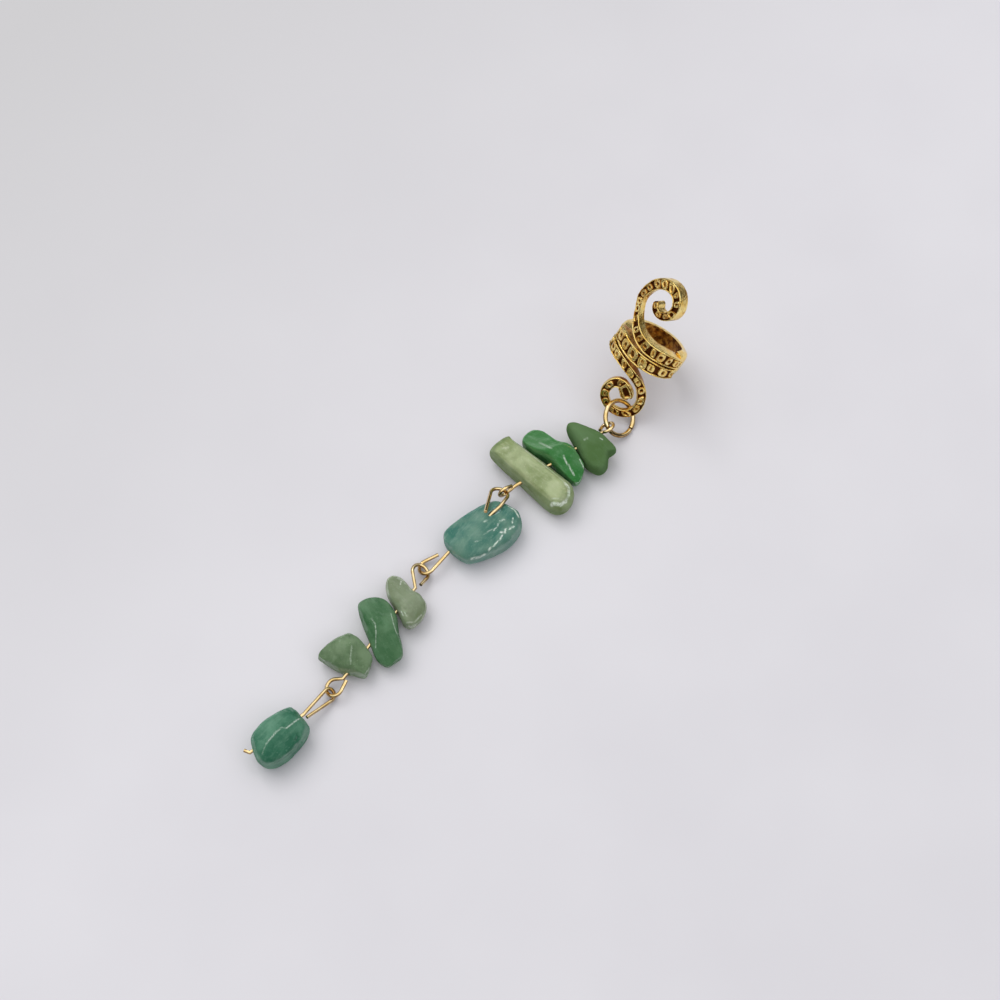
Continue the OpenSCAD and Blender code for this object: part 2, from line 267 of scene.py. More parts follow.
# Columns: s round the ring from its front, h along its axis, width, share of the wall's depth
UPPER_STRIP = [
    (7.4, 1.9, 1.6, 1), (5.2, 2.7, 1.9, 1), (2.6, 3.2, 2.1, 1), (-0.5, 3.5, 2.0, 1),
    (-3.0, 4.3, 1.7, 0.9), (-4.8, 5.7, 1.4, 0.7), (-5.8, 7.8, 1.3, 0.6), (-5.9, 10.0, 1.4, 0.6),
    (-5.0, 12.3, 1.6, 0.7), (-3.2, 13.8, 1.8, 0.9), (-1.2, 13.9, 1.7, 1), (0.1, 12.5, 1.5, 1),
    (0.0, 10.8, 1.4, 1), (-1.2, 9.5, 1.2, 1), (-2.6, 9.4, 1.1, 1), (-3.3, 10.5, 1.0, 1)]
MIDDLE_STRIP = [
    (-8.2, 0.9, 2.1, 1), (-5.5, 1.3, 2.3, 1), (-3.2, 1.2, 2.3, 1), (-0.8, 1.0, 2.3, 1),
    (2.2, 0.8, 2.2, 1), (5.0, 0.5, 1.9, 1), (7.5, 0.37, 1.75, 1)]
LOWER_STRIP = [
    (-8.2, -1.0, 1.6, 1), (-6.2, -1.1, 1.7, 1), (-3.2, -1.1, 1.6, 1), (-1.3, -1.4, 1.5, 1),
    (0.3, -1.9, 1.4, 0.9), (1.9, -2.8, 1.4, 0.7), (3.1, -4.2, 1.5, 0.55),
    (3.7, -6.0, 1.4, 0.5), (3.4, -7.8, 1.35, 0.42), (2.0, -8.9, 1.3, 0.42),
    (0.3, -8.9, 1.3, 0.42), (-1.2, -7.9, 1.35, 0.42), (-1.9, -6.4, 1.4, 0.45),
    (-1.6, -4.9, 1.45, 0.5), (-0.5, -4.25, 1.6, 0.5), (0.5, -4.7, 1.95, 0.5),
    (1.25, -5.4, 2.1, 0.5), (1.95, -6.1, 1.7, 0.5)]
# Columns: s, h, width, wall of the plain shank
SHANK = [
    (6.2, 1.5, 4.4, 1.5), (8.5, 1.4, 4.0, 1.4), (12, 0.9, 3.1, 1.0), (17.9, 0.3, 2.8, 0.9),
    (23.8, 0.2, 3.2, 1.0), (27.3, 0.3, 4.0, 1.4), (29.6, 0.2, 4.2, 1.5)]


def ease(k):
    """A share from 0 to 1 with a soft start and end."""
    k = min(1.0, max(0.0, k))
    return k * k * (3 - 2 * k)


def curve(a, b, c, d, k):
    """A smooth curve from row b to row c, bent by the rows before and after them."""
    return 0.5 * (2 * b + (c - a) * k + (2 * a - 5 * b + 4 * c - d) * k * k
                  + (3 * b - a - 3 * c + d) * k ** 3)


def route_at(rows, t):
    """The row at any place along a table, on a smooth curve through its rows."""
    last = len(rows) - 1
    i = min(last - 1, int(t))
    near = [Vector(rows[min(last, max(0, i + n))]) for n in (-1, 0, 1, 2)]
    return curve(*near, t - i)


def on_cuff(s, h, rho, head_s, k):
    """A place on the front: round the ring, along its axis and out from it. At k = 1 the
    round surface has become the flat plane of a scroll."""
    az, flat, off = s / outer_r, head_s / outer_r, s - head_s
    bent = Vector((rho * math.sin(az), -rho * math.cos(az), h))
    plane = Vector((rho * math.sin(flat) + off * math.cos(flat),
                    -rho * math.cos(flat) + off * math.sin(flat), h))
    return bent.lerp(plane, k)


def relief(cell, u, q, long_cell):
    """Height of the cast face, 0 in its gaps, about half in the middle of a frame and 1 on
    the edges, at u along a cell and q across the strip. No two frames are cast alike, and
    the scroll's end has one long frame with a deep slot."""
    rim = ease((abs(q) - 0.71) / 0.13)
    if long_cell:
        far = abs(u - 0.5)
        frame_part = (1 - ease((abs(q) - 0.66) / 0.08)) * (1 - ease((far - 0.40) / 0.06))
        pit = (1 - ease((abs(q) - 0.34) / 0.10)) * (1 - ease((far - 0.25) / 0.07))
        return max(rim, 0.95 * frame_part * (1 - pit))
    odd = [noise.noise(Vector((cell * 3.7 + n * 11.3, n * 5.1, 0.5))) for n in range(4)]
    far = abs(u - 0.5 - 0.20 * odd[0] + (0.20 + 0.50 * odd[1]) * q * 0.5)
    aside = abs(q - 0.14 * odd[2])
    outside = ((far / (0.40 + 0.20 * odd[3])) ** 3
               + (aside / (0.80 + 0.30 * odd[0])) ** 3) ** (1 / 3)
    inside = ((far / (0.17 + 0.16 * odd[0])) ** 2.6
              + (aside / (0.40 + 0.30 * odd[1])) ** 2.6) ** (1 / 2.6)
    frame_part = 1 - ease((outside - 0.86) / 0.16)
    pit = 1 - ease((inside - 0.75) / 0.35)
    return max(rim, (0.85 + 0.4 * odd[1]) * frame_part * (1 - (0.62 + 0.8 * odd[2]) * pit))


def closed(tube, name):
    """Welds a tube's seam, closes its ends and makes it an object."""
    bmesh.ops.remove_doubles(tube, verts=tube.verts, dist=weld_gap)
    bmesh.ops.holes_fill(tube, edges=[e for e in tube.edges if e.is_boundary], sides=0)
    bmesh.ops.triangulate(tube, faces=[f for f in tube.faces if len(f.verts) > 4])
    bmesh.ops.recalc_face_normals(tube, faces=tube.faces)
    return object_from(tube, name)


def strip(name, rows, head_s, head_h, cell_pitch, sunk_ends, round_end, bulb, slit_sides):
    """One cast strip as a closed tube: its face with the relief, two side walls and a back.
    The walls that face another strip across a slit carry amber painted shade to their edges;
    the other walls darken a little with depth as painted shade."""
    last = len(rows) - 1
    fine = [route_at(rows, last * i / fine_steps) for i in range(fine_steps + 1)]
    run_length = [0.0]
    for a, b in zip(fine, fine[1:]):
        run_length.append(run_length[-1] + math.hypot(b[0] - a[0], b[1] - a[1]))
    length = run_length[-1]
    stations = round(length / step_along)
    # Columns: place across the strip, share of the way down from its face to its back
    side = [(1, 0.12), (1, 0.35), (1, 0.7), (0.96, 1.0), (0.5, 1.0), (0, 1.0), (-0.5, 1.0),
            (-0.96, 1.0), (-1, 0.7), (-1, 0.35), (-1, 0.12)]
    around = across + 1 + len(side)
    tube = bmesh.new()
    bmesh.ops.create_grid(tube, x_segments=stations, y_segments=around, size=1.0)
    dark = tube.verts.layers.float.new("patina_and_shade")
    places = {}
    k_fine = 0
    for i in range(stations + 1):
        l = length * i / stations
        while k_fine < fine_steps - 1 and run_length[k_fine + 1] < l:
            k_fine += 1
        t = last * (k_fine + (l - run_length[k_fine])
                    / max(1e-9, run_length[k_fine + 1] - run_length[k_fine])) / fine_steps
        c, d = route_at(rows, t), route_at(rows, min(last, t + look_along))
        e = route_at(rows, max(0.0, t - look_along))
        run = Vector((d[0] - e[0], d[1] - e[1])).normalized()
        sunk = max(1 - ease(t / sink_run),
                   1 - ease((last - t) / sink_run) if sunk_ends == 2 else 0.0)
        half = c[2] / 2 * (1 - 0.3 * sunk)
        tip = 1.0
        if round_end:
            reach = min(1.0, (length - l) / (0.9 * half))
            tip = math.sqrt(max(0.0, 1 - (1 - reach) ** 2))
            half *= max(0.25, tip)
        in_bulb = bulb and length - l < bulb
        paced = (l + pace_drift * noise.noise(Vector((l * pace_pitch, head_s, 2.0)))) / cell_pitch
        cell, u = math.floor(paced), paced % 1
        if in_bulb:
            u = (l - (length - bulb)) / bulb
        back = outer_r + rim_rise - c[3] * (wall + rim_rise - back_gap) + 0.5 * sunk
        top = outer_r + rim_rise - sink * sunk - 0.3 * (1 - tip)
        wobble = wave * noise.noise(Vector((c[0] * wave_pitch, c[1] * wave_pitch, head_s)))
        for j in range(around + 1):
            n = j % around
            if n <= across:
                q = 2 * n / across - 1
                lip = max(0.0, abs(q) * half - (half - edge_round)) / edge_round
                height = relief(cell + 40 * head_s, u, q, in_bulb)
                rho = (top - (1 - height) * relief_depth + wobble * height
                       - edge_round * (1 - math.sqrt(max(0.0, 1 - lip * lip))))
                # Lower places on the face turn browner: antique patina with painted shade
                shade = 1 - height
            else:
                q, depth = side[n - across - 1]
                rho = top - edge_round + (back - top + edge_round) * depth
                shade = depth
            s, h = c[0] - run.y * q * half, c[1] + run.x * q * half
            k = ease((h - head_h[0]) / (head_h[1] - head_h[0]))
            # Painted shade: side walls darken with depth, and those across a slit turn amber
            if n > across:
                slit = q * slit_sides > 0 or slit_sides == 2
                plain = 0.05 + 0.30 * shade
                shade = (min(0.62, 0.30 + 0.7 * shade) if slit else plain) * (1 - k) + plain * k
            places[i, j] = (on_cuff(s, h, rho, head_s, k), shade)
    for v in tube.verts:
        i = round((v.co.x + 1) / 2 * stations)
        j = round((v.co.y + 1) / 2 * around)
        v.co, v[dark] = places[i, j]
    return closed(tube, name)


def shank(name):
    """The plain back of the ring, softly rounded outside and bored true inside."""
    stations, around = 150, 32
    tube = bmesh.new()
    bmesh.ops.create_grid(tube, x_segments=stations, y_segments=around, size=1.0)
    dark = tube.verts.layers.float.new("patina_and_shade")
    last = len(SHANK) - 1
    for v in tube.verts:
        t = (v.co.x + 1) / 2 * last
        turn = (v.co.y + 1) * math.pi
        c = route_at(SHANK, t)
        q, out = math.cos(turn), math.sin(turn)
        wide = math.copysign(abs(q) ** shank_corner, q)
        rise = bore_r if out < 0 else bore_r + c[3] * out ** 0.5
        inside = max(0.0, -out)
        v.co = on_cuff(c[0], c[1] + wide * c[2] / 2, rise, 0, 0)
        # Painted shade with some patina: the inside of the bore turns brown
        v[dark] = 0.05 + 0.70 * ease(inside / 0.3)
    return closed(tube, name)


def fused(body, parts, how="UNION"):
    """The body with the other parts joined to it or cut from it as one closed skin."""
    for part in parts:
        join = body.modifiers.new(part.name, "BOOLEAN")
        join.operation = how
        join.solver = "MANIFOLD"
        join.object = part
    skin = bpy.data.meshes.new_from_object(
        body.evaluated_get(bpy.context.evaluated_depsgraph_get()))
    body.modifiers.clear()
    skin.materials.clear()
    body.data = skin
    for part in parts:
        bpy.data.objects.remove(part)
    return body


def finish_piece(thing, place, sharp, wire=False):
    """Puts a piece modelled in mm in its place in metres, smooth but for its sharp edges.
    A wire also gets an attribute of painted shade for its sides, 1 from there down."""
    thing.data.transform(Matrix.Scale(MM, 4) @ place)
    for face in thing.data.polygons:
        face.use_smooth = True
    thing.data.set_sharp_from_angle(angle=math.radians(sharp))
    if wire:
        below = thing.data.attributes.new("painted_side_shade", "FLOAT", "POINT")
        for v in thing.data.vertices:
            below.data[v.index].value = 1 - ease((v.normal.z - 0.38) / 0.42)
    return thing


cuff = fused(shank("cuff_casting"),
             [strip("upper", UPPER_STRIP, -3.2, (4.5, 9), 1.5, 1, True, 0, 1),
              strip("middle", MIDDLE_STRIP, 0, (90, 91), 1.9, 2, False, 0, 2),
              strip("lower", LOWER_STRIP, 1.2, (-2.5, -6), 1.8, 1, True, 2.9, 1)])
finish_piece(cuff, cuff_place, 60)

# Uneven polish for the gold wire and the stones, and the finest dents for both gold finishes and the
# stones
handled, nodes, links, given, result = shader_group(
    "handled_polish", {"Vector": None, "Size": 2.0, "Low": 0.1, "High": 0.3},
    {"Roughness": "Float"})
links.new(remap(nodes, links, cloud(nodes, links, given["Vector"], given["Size"]), 0.34, 0.66,
                given["Low"], given["High"]), result["Roughness"])
dents, nodes, links, given, result = shader_group(
    "fine_dents", {"Vector": None, "Size": 4.0, "Strength": 0.2, "Depth": 0.00004},
    {"Normal": "Vector"})
pressed = nodes.new("ShaderNodeBump")
for socket, value in (("Strength", given["Strength"]), ("Distance", given["Depth"]),
                      ("Height", cloud(nodes, links, given["Vector"], given["Size"], 4.0, 0.6))):
    feed(links, pressed.inputs[socket], value)
links.new(pressed.outputs["Normal"], result["Normal"])

# The mask of patina and painted shade turns the gold amber, then dark brown
gold, nodes, links, shader, mm = node_material("antiqued_and_shaded_gold")
patch = remap(nodes, links, cloud(nodes, links, mm, 1.5, 5.0, 0.65), 0.32, 0.68, -0.20, 0.20)
uneven = sums(nodes, links, "ADD", carried(nodes, "patina_and_shade"), patch)
bright = placed(nodes, links, drift, Vector=mm, Size=0.9, First=(0.94, 0.61, 0.135),
                Second=(1.0, 0.83, 0.34))
amber = placed(nodes, links, drift, Vector=mm, Size=1.7, First=(0.34, 0.11, 0.012),
               Second=(0.66, 0.33, 0.055))
brown = remap(nodes, links, uneven, 0.62, 0.86)
toned = blend(nodes, links, remap(nodes, links, uneven, 0.22, 0.50), bright["Color"], amber["Color"])
links.new(blend(nodes, links, brown, toned, (0.092, 0.025, 0.005)), shader.inputs["Base Color"])
links.new(remap(nodes, links, uneven, 0.1, 0.9, 0.12, 0.42), shader.inputs["Roughness"])
shader.inputs["Metallic"].default_value = 1.0
links.new(placed(nodes, links, dents, Vector=mm, Size=3.2, Strength=0.8, Depth=0.07 * MM)["Normal"],
          shader.inputs["Normal"])
cuff.data.materials.append(gold)
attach(cuff, "root")
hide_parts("cuff")

# The jump ring is one turn of round gold-coloured brass wire, cut square at both ends. It is
# opened sideways, hooked round the band of the lower scroll and pressed shut again.
ring_r = 2.67
ring_wire_d = 0.72
ring_cut = 0.2
ring_at = Vector((28.08, -3.25, 2.19))
ring_turn = math.radians(283.7)
ring_tilt = math.radians(41.9)
open_angle = ring_cut / ring_r
turned = bmesh.new()
bmesh.ops.create_circle(turned, cap_ends=False, segments=20, radius=ring_wire_d / 2)
bmesh.ops.rotate(turned, verts=turned.verts, cent=(0, 0, 0),
                 matrix=Matrix.Rotation(math.pi / 2, 3, "X"))
bmesh.ops.translate(turned, verts=turned.verts, vec=(ring_r, 0, 0))
bmesh.ops.rotate(turned, verts=turned.verts, cent=(0, 0, 0),
                 matrix=Matrix.Rotation(open_angle / 2, 3, "Z"))
bmesh.ops.spin(turned, geom=turned.edges[:], cent=(0, 0, 0), axis=(0, 0, 1), dvec=(0, 0, 0),
               angle=2 * math.pi - open_angle, steps=96, use_merge=False, use_duplicate=False)
caps = bmesh.ops.holes_fill(turned, edges=[e for e in turned.edges if e.is_boundary], sides=0)
bmesh.ops.bevel(turned, geom=[e for f in caps["faces"] for e in f.edges], offset=0.05,
                segments=2, profile=0.5, affect="EDGES", material=-1, clamp_overlap=True)
bmesh.ops.recalc_face_normals(turned, faces=turned.faces)
ring = finish_piece(object_from(turned, "jump_ring_wire"),
                    Matrix.Translation(home + ring_at) @ Matrix.Rotation(ring_turn, 4, "Z")
                    @ Matrix.Rotation(ring_tilt, 4, "Y"), 50, wire=True)

plated, nodes, links, shader, mm = node_material("gold_wire")
wire_tone = placed(nodes, links, drift, Vector=mm, Size=0.8, First=(0.88, 0.62, 0.25),
                   Second=(1.0, 0.82, 0.47))
# Painted shade: the wire's sides turn dark brown, unevenly
side_shade = sums(nodes, links, "MULTIPLY", carried(nodes, "painted_side_shade"), remap(
    nodes, links, cloud(nodes, links, mm, 1.1, 3.0, 0.6), 0.36, 0.60, 0.55, 1.0))
links.new(blend(nodes, links, side_shade, wire_tone["Color"], (0.20, 0.085, 0.02)),
          shader.inputs["Base Color"])
links.new(placed(nodes, links, handled, Vector=mm, Size=2.5, Low=0.06, High=0.16)["Roughness"],
          shader.inputs["Roughness"])
shader.inputs["Metallic"].default_value = 1.0
links.new(placed(nodes, links, dents, Vector=mm, Size=6.0, Strength=0.15, Depth=0.02 * MM)["Normal"],
          shader.inputs["Normal"])
ring.data.materials.append(plated)
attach(ring, "root")
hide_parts("jump_ring")

# The four pins are lengths of the same gold-coloured wire, half a millimetre thick, each bent
# to an eye at its ends by hand. The last one ends in a short bent tail.
pin_d = 0.55
bend_step = 7.0
# Straight run of each pin's wire, from the cuff's side to the far side
PIN_RUN = [
    ((24.3, -3.2, 2.9), (8.9, 0.6, 2.5)), ((4.0, -0.77, 4.94), (-5.2, 0.8, 1.8)),
    ((-13.0, 0.4, 2.0), (-30.2, -1.6, 1.9)), ((-38.1, -1.5, 2.8), (-47.2, 0.05, 2.8))]
# Columns of an eye: tip of its bend, width, roll, its cut end's way out and to the side
PIN_EYE = [
    [((26.4, -3.0, 2.6), 2.1, 320, 0.3, 0.85), ((6.15, 1.25, 3.0), 1.9, 90, 0.8, 0.62)],
    [((6.71, 1.89, 3.02), 2.56, 12, -1.63, 2.2), ((-10.34, 2.02, 0.9), 2.48, 25, 1.69, -0.72)],
    [((-9.47, 2.37, 1.11), 2.55, 26, 0.94, -0.63), ((-33.11, -1.37, 1.0), 2.54, 15, -0.22, 0.6)],
    [((-32.33, -1.65, 0.91), 1.79, 35, 0.29, -0.62)]]
tail_tip = Vector((-47.5, 0.9, 2.8))


def eye(foot, tip, width, roll, cut_out, cut_side):
    """Points of one bent eye: out along one leg, round the bend and back to its cut end."""
    out = (Vector(tip) - foot).normalized()
    r = width / 2
    mid = (Vector(tip) - foot).length - r
    level = up.cross(out).normalized()
    roll = math.radians(roll)
    side = level * math.cos(roll) + out.cross(level) * math.sin(roll)
    side *= math.copysign(1, cut_side)
    first = -90 - math.degrees(math.asin(r / mid))
    last = (math.degrees(math.atan2(abs(cut_side), cut_out - mid))
            - math.degrees(math.acos(r / math.hypot(cut_out - mid, cut_side))))
    bends = math.ceil((last - first) / bend_step)
    points = [foot.copy()]
    for i in range(bends + 1):
        a = math.radians(first + (last - first) * i / bends)
        points.append(foot + out * (mid + r * math.cos(a)) + side * r * math.sin(a))
    return points + [foot + out * cut_out + side * abs(cut_side)]


def wire_along(points, name):
    """A round wire through points in mm, closed at both cut ends."""
    line = bpy.data.curves.new(name, "CURVE")
    line.dimensions = "3D"
    line.bevel_depth = pin_d / 2
    line.bevel_resolution = 3
    line.use_fill_caps = True
    spline = line.splines.new("POLY")
    spline.points.add(len(points) - 1)
    for spot, p in zip(spline.points, points):
        spot.co = (*p, 1.0)
    guide = bpy.data.objects.new(name + "_line", line)
    scene.collection.objects.link(guide)
    skin = bpy.data.meshes.new_from_object(
        guide.evaluated_get(bpy.context.evaluated_depsgraph_get()))
    bpy.data.objects.remove(guide)
    weld = bmesh.new()
    weld.from_mesh(skin)
    bmesh.ops.remove_doubles(weld, verts=weld.verts, dist=1e-4)
    bmesh.ops.recalc_face_normals(weld, faces=weld.faces)
    return object_from(weld, name)


for k, (run, eyes) in enumerate(zip(PIN_RUN, PIN_EYE)):
    start, end = Vector(run[0]), Vector(run[1])
    path = eye(start, *eyes[0])[::-1]
    path += eye(end, *eyes[1]) if len(eyes) > 1 else [end, tail_tip]
    name = f"pin_{k + 1}"
    pin = finish_piece(wire_along(path, name + "_wire"), Matrix.Translation(home), 50, wire=True)
    pin.data.materials.append(plated)
    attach(pin, "root")
    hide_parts(name)

# The stones are green quartz chips, tumbled and polished, each drilled for its pin. They are
# irregular, with soft ground facets, cloudy inside, and glossy but for the dark star. Some of
# them carry painted highlights as short bright strokes in their colour, and all carry painted
# shade on their flanks.
hole_d = 0.9
facet_blend = 0.035
facet_share = 0.93
lump = 0.06
lump_pitch = 0.9
ripple_pitch = 1.9
# Columns of each outline: x, y from the stone's middle, rise of its edge over mid height
CHIP_1 = [
    (1.0, 4.3, 0.2), (-0.3, 4.2, 0.4), (-1.5, 1.4, 0.3), (-2.7, -1.7, -0.2),
    (-2.2, -4.1, -0.4), (-0.7, -4.4, -0.3), (0.7, -3.5, 0.1), (2.2, -3.6, 0.3),
    (2.6, -1.6, 0.1), (2.8, -0.2, -0.2), (2.2, 1.9, -0.2)]
CHIP_2 = [
    (0.3, 5.5, -0.2), (-1.9, 5.2, -0.1), (-2.4, 2.6, 0.2), (-1.8, 0.0, 0.3),
    (-1.8, -5.4, 0.4), (0.9, -4.8, 0.3), (1.8, -3.2, 0.0), (2.5, -0.9, -0.2),
    (1.5, 1.4, -0.3), (1.4, 4.2, -0.3)]
CHIP_3 = [
    (1.7, 7.0, 0.2), (-1.3, 7.4, 0.1), (-2.0, 6.1, 0.0), (-2.2, 0.2, -0.3),
    (-2.3, -1.4, -0.3), (-2.5, -5.8, -0.2), (-1.3, -7.4, 0.0), (0.8, -7.3, 0.2),
    (2.3, -5.7, 0.3), (2.4, -3.5, 0.3), (1.9, 5.4, 0.2)]
CHIP_4 = [
    (-4.3, 4.1, -0.2), (-5.6, 2.1, 0.0), (-5.5, -1.2, 0.2), (-4.0, -2.6, 0.1),
    (-1.0, -3.8, -0.2), (1.7, -4.3, -0.4), (4.1, -3.8, -0.3), (5.4, -2.4, 0.1),
    (5.6, -1.1, 0.3), (4.9, 1.5, 0.2), (3.3, 2.8, -0.1), (0.1, 3.8, -0.3), (-2.6, 4.3, -0.3)]
CHIP_5 = [
    (0.6, 3.9, 0.1), (1.7, 4.0, 0.0), (2.4, 3.4, -0.2), (2.6, 2.2, -0.2), (2.3, 0.1, -0.1),
    (2.5, -1.3, 0.0), (1.8, -3.1, 0.2), (-0.1, -4.0, 0.3), (-1.9, -3.9, 0.2),
    (-2.5, -2.7, 0.0), (-1.8, -0.9, -0.2), (-0.8, 2.3, 0.0)]
CHIP_6 = [
    (0.1, 4.8, 0.2), (1.5, 4.9, 0.1), (3.0, 3.9, -0.1), (3.7, 2.4, -0.3), (3.0, -0.2, -0.2),
    (1.3, -2.3, 0.1), (-0.7, -5.0, 0.3), (-2.4, -5.0, 0.2), (-3.6, -4.5, 0.0),
    (-3.8, -2.8, -0.2), (-3.1, -1.1, -0.1), (-2.3, 0.5, 0.1), (-1.3, 2.6, 0.2)]
CHIP_7 = [
    (-3.0, 3.4, 0.0), (-3.1, 2.7, -0.1), (-2.5, -0.5, -0.2), (-1.6, -2.1, 0.0),
    (-1.0, -3.5, 0.2), (-0.3, -3.8, 0.3), (1.5, -3.0, 0.2), (2.4, -2.1, 0.0),
    (3.0, 0.6, -0.2), (2.9, 1.8, -0.2), (2.4, 2.7, 0.0), (0.5, 3.4, 0.2), (-1.8, 3.7, 0.1)]
CHIP_8 = [
    (4.0, 1.9, 0.0), (4.4, 1.0, 0.1), (4.4, -0.1, 0.0), (4.2, -1.6, -0.2), (3.7, -2.5, -0.3),
    (1.6, -3.1, -0.4), (-1.4, -3.2, -0.3), (-3.1, -2.8, -0.1), (-4.1, -2.1, 0.1),
    (-4.5, -1.1, 0.2), (-4.3, 0.3, 0.2), (-2.9, 2.5, 0.0), (-0.9, 3.1, -0.2), (1.2, 2.9, -0.2)]

# Ground facets of each stone. Columns: heading and rise of the facet's face in degrees, and
# its distance from the stone's middle in mm.
GRIND_1 = [(240, 74, 2.2), (330, 60, 2.7)]
GRIND_2 = [(60, 66, 2.35), (275, 74, 2.3), (0, 50, 2.6)]
GRIND_3 = [(180, 80, 2.35), (0, 42, 2.5), (265, 52, 5.2), (180, 32, 2.45)]
GRIND_4 = [(100, 60, 2.6), (270, 78, 2.25), (180, 55, 4.2)]
GRIND_5 = [(150, 74, 1.85), (285, 62, 2.4), (20, 60, 2.3)]
GRIND_6 = [(200, 64, 2.2), (20, 72, 2.2), (280, 62, 3.1)]
GRIND_7 = [(150, 72, 2.0), (320, 66, 1.95)]
GRIND_8 = [(90, 66, 2.65), (275, 66, 2.5), (350, 40, 4.2), (180, 45, 4.1)]

# Paler and deeper places in each stone, partly its own colour and partly painted light and shade on
# its facets and flanks. Columns: x, y, radius, how much paler.
TONE_1 = [(-0.2, 2.6, 2.4, 0.45), (-0.6, -1.8, 2.8, -0.45)]
TONE_2 = [(-1.0, 3.4, 2.4, 0.15), (-1.5, -0.9, 1.2, 0.6), (-1.0, -4.9, 2.2, -0.8),
          (1.0, 2.0, 1.6, 0.5)]
TONE_3 = [(-0.8, -4.2, 3.0, 0.85), (-2.4, 2.0, 1.6, -0.4), (0.2, -7.2, 2.0, 0.7),
          (1.2, 3.0, 2.5, 0.2), (0.0, 0.0, 2.4, -0.45)]
TONE_4 = [(0.7, 1.4, 1.9, 0.9), (-1.8, 0.4, 1.9, 0.75), (-3.9, 0.6, 1.6, 0.4),
          (-3.5, 3.4, 1.8, -0.8), (-0.3, 3.6, 1.6, -0.8), (2.6, 2.8, 1.6, -0.6),
          (4.4, -1.1, 1.9, -0.75)]
TONE_5 = [(1.2, 2.4, 1.6, -0.3), (-1.6, -2.6, 1.8, 0.4), (0.8, -1.7, 1.9, 0.85)]
TONE_6 = [(0.5, 4.3, 1.2, 0.4), (1.4, 1.6, 1.6, -0.3), (-2.2, -3.6, 2.0, -0.2)]
TONE_7 = [(-1.6, 1.6, 2.2, -0.25), (1.6, -1.6, 2.0, 0.95)]
TONE_8 = [(0.5, 1.6, 2.6, 0.45), (-2.8, 0.8, 1.8, 0.4), (0.8, -2.8, 2.2, -0.9),
          (-2.6, -2.4, 1.9, -0.7)]

# Painted highlights of each stone, as bright strokes: how bright, its width, then its points
GLINT_1 = [(0.7, 0.10, [(1.4, -1.0), (1.5, -1.3)]), (0.25, 0.12, [(0.0, 0.4), (-0.5, 0.6)])]
GLINT_2 = [
    (0.8, 0.09, [(-0.2, -1.6), (-0.5, -2.4), (-0.7, -3.1)]),
    (0.8, 0.08, [(-0.7, -3.1), (-0.9, -3.9), (-1.2, -4.6)]),
    (0.7, 0.07, [(1.3, -3.5), (1.1, -4.0), (0.8, -4.8)]), (0.3, 0.16, [(-0.8, 2.6), (-0.6, 0.6)])]
GLINT_3 = [
    (0.75, 0.20, [(1.5, -5.0), (1.3, -5.9), (0.6, -6.5)]), (0.45, 0.16, [(0.6, -6.5), (-0.4, -6.8)]),
    (0.8, 0.22, [(-0.4, -6.8), (-1.4, -6.6), (-2.1, -5.6)]),
    (0.35, 0.08, [(1.5, 5.6), (1.6, 1.5), (1.6, -2.8), (1.5, -5.0)]),
    (0.3, 0.12, [(-1.0, -5.9), (-1.7, -5.2)])]
GLINT_4 = [
    (0.9, 0.09, [(-2.1, -3.0), (-1.7, -2.9)]), (0.9, 0.08, [(-1.2, -3.1), (-0.2, -3.0)]),
    (0.95, 0.10, [(0.2, -3.1), (0.9, -2.9)]), (0.95, 0.12, [(1.1, -2.4), (1.5, -2.9), (2.0, -2.5)]),
    (0.9, 0.09, [(2.4, -3.0), (3.2, -3.1)]), (0.9, 0.08, [(3.4, -2.6), (4.0, -2.2)]),
    (0.75, 0.12, [(5.0, -0.4), (5.2, -1.4), (4.9, -2.5)]),
    (0.6, 0.09, [(-4.8, -1.9), (-3.7, -2.6), (-2.9, -2.9)]),
    (0.7, 0.07, [(0.6, -1.5), (1.3, -1.5), (2.2, -1.2), (2.9, -1.5)]),
    (0.4, 0.06, [(-1.0, -0.9), (0.4, -1.2)]),
    (0.4, 0.06, [(-2.8, -0.6), (-2.2, -1.1)]), (0.6, 0.09, [(0.6, 0.4), (1.1, 0.1)])]
GLINT_5 = [
    (0.6, 0.09, [(1.9, 2.1), (1.4, 1.7)]), (0.7, 0.08, [(-1.6, -1.3), (-1.8, -1.9)]),
    (0.7, 0.08, [(-1.4, -1.8), (-1.6, -2.4)]), (0.35, 0.10, [(-2.2, -3.0), (-1.4, -3.7), (0.2, -3.6)])]
GLINT_6 = [
    (0.4, 0.09, [(-0.3, 1.5), (-0.5, 0.6)]),
    (0.45, 0.06, [(-0.5, 0.6), (-1.2, -0.2), (-2.0, -0.9), (-2.8, -1.6)]),
    (0.38, 0.06, [(2.3, 0.2), (1.2, -1.5), (0.6, -2.6), (1.0, -2.7)])]
GLINT_7 = [(0.30, 0.08, [(1.1, 0.5), (0.0, -0.4), (-1.0, -1.3)])]
GLINT_8 = [
    (0.55, 0.07, [(3.7, -0.8), (2.3, -0.7), (1.3, -0.6)]),
    (0.25, 0.06, [(1.3, -0.6), (0.9, -0.1)]),
    (0.6, 0.07, [(0.9, -0.1), (0.1, 0.0), (-0.8, -0.1), (-2.2, -0.2)]),
    (0.3, 0.07, [(-2.2, -0.2), (-3.6, -0.7)])]


def stroke_near(points, x, y):
    """How far a place is from a stroke."""
    best = 99.0
    for (ax, ay), (bx, by) in zip(points, points[1:]):
        dx, dy = bx - ax, by - ay
        k = min(1.0, max(0.0, ((x - ax) * dx + (y - ay) * dy) / (dx * dx + dy * dy)))
        best = min(best, math.hypot(x - ax - k * dx, y - ay - k * dy))
    return best


